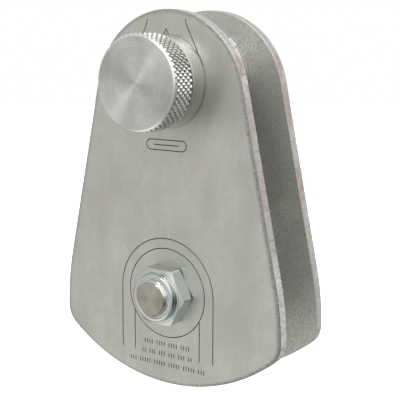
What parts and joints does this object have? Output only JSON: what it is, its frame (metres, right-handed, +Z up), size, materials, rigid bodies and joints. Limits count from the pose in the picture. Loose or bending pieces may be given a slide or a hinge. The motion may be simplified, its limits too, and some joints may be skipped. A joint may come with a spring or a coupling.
{
  "type": "rigging block",
  "caption": "Rigging block with a sling sheave above a rope sheave between steel cheek plates; the front plate swings open once the knurled knob is pulled.",
  "frame": {"origin": "on the upper spindle's axis, where the sling bears, midway between the cheek plates", "axes": "+Z up, from the lower axle to the upper spindle; -Y towards the front plate, its knob and the axle nut; X across the block"},
  "size_m": [0.1346, 0.0816, 0.1929],
  "materials": {
    "plate_steel": "satin tumbled stainless plate with bright blanked edges",
    "zinc_steel": "bright blue-white zinc plate",
    "nylon": "off-white nylon",
    "hardened_steel": "ground steel",
    "bronze": "oiled sintered bronze",
    "sheave_aluminium": "turned aluminium",
    "spring_steel": "drawn spring steel",
    "washer_steel": "bright stainless",
    "housing_aluminium": "fine turned aluminium",
    "knob_aluminium": "faced and diamond knurled aluminium",
    "black_steel": "black oxide"
  },
  "bodies": {
    "frame": {"rear_plate": "plate_steel", "upper_spindle": "hardened_steel", "spindle_nut": "zinc_steel", "spindle_nut_insert": "nylon", "spindle_snap_ring": "spring_steel", "upper_thrust_washer": "washer_steel", "axle_bolt": "zinc_steel", "axle_nut": "zinc_steel", "axle_nut_insert": "nylon", "lower_sleeve": "hardened_steel", "lower_thrust_washer_front": "bronze", "lower_thrust_washer_rear": "bronze"},
    "front_cheek": {"front_plate": "plate_steel", "plunger_housing": "housing_aluminium", "housing_screws": "black_steel", "housing_cap": "hardened_steel", "plunger_spring": "spring_steel"},
    "lower_wheel": {"lower_sheave": "sheave_aluminium", "lower_bush": "bronze"},
    "upper_wheel": {"upper_sheave": "sheave_aluminium", "upper_bush": "bronze"},
    "plunger_carriage": {"spring_seat": "washer_steel"},
    "knob_and_pin": {"knob": "knob_aluminium", "knob_grub_screw": "black_steel", "plunger": "hardened_steel"}
  },
  "joints": [
    {"name": "front_plate_swing", "type": "hinge", "parent": "frame", "child": "front_cheek", "pos_m": [0, 0, -0.1085], "axis": [0, -1, 0], "range_deg": [-120, 120]},
    {"name": "lower_sheave_spin", "type": "hinge", "parent": "frame", "child": "lower_wheel", "pos_m": [0, 0, -0.1085], "axis": [0, -1, 0], "continuous": true},
    {"name": "upper_sheave_spin", "type": "hinge", "parent": "frame", "child": "upper_wheel", "pos_m": [0, 0, 0], "axis": [0, -1, 0], "continuous": true},
    {"name": "knob_pull", "type": "slide", "parent": "front_cheek", "child": "plunger_carriage", "axis": [0, -1, 0], "range_m": [0, 0.007], "stiffness_N_per_m": 1500, "springref_m": -0.008, "deforming": ["plunger_spring"]},
    {"name": "knob_turn", "type": "hinge", "parent": "plunger_carriage", "child": "knob_and_pin", "pos_m": [0, 0, 0], "axis": [0, -1, 0], "continuous": true}
  ]
}
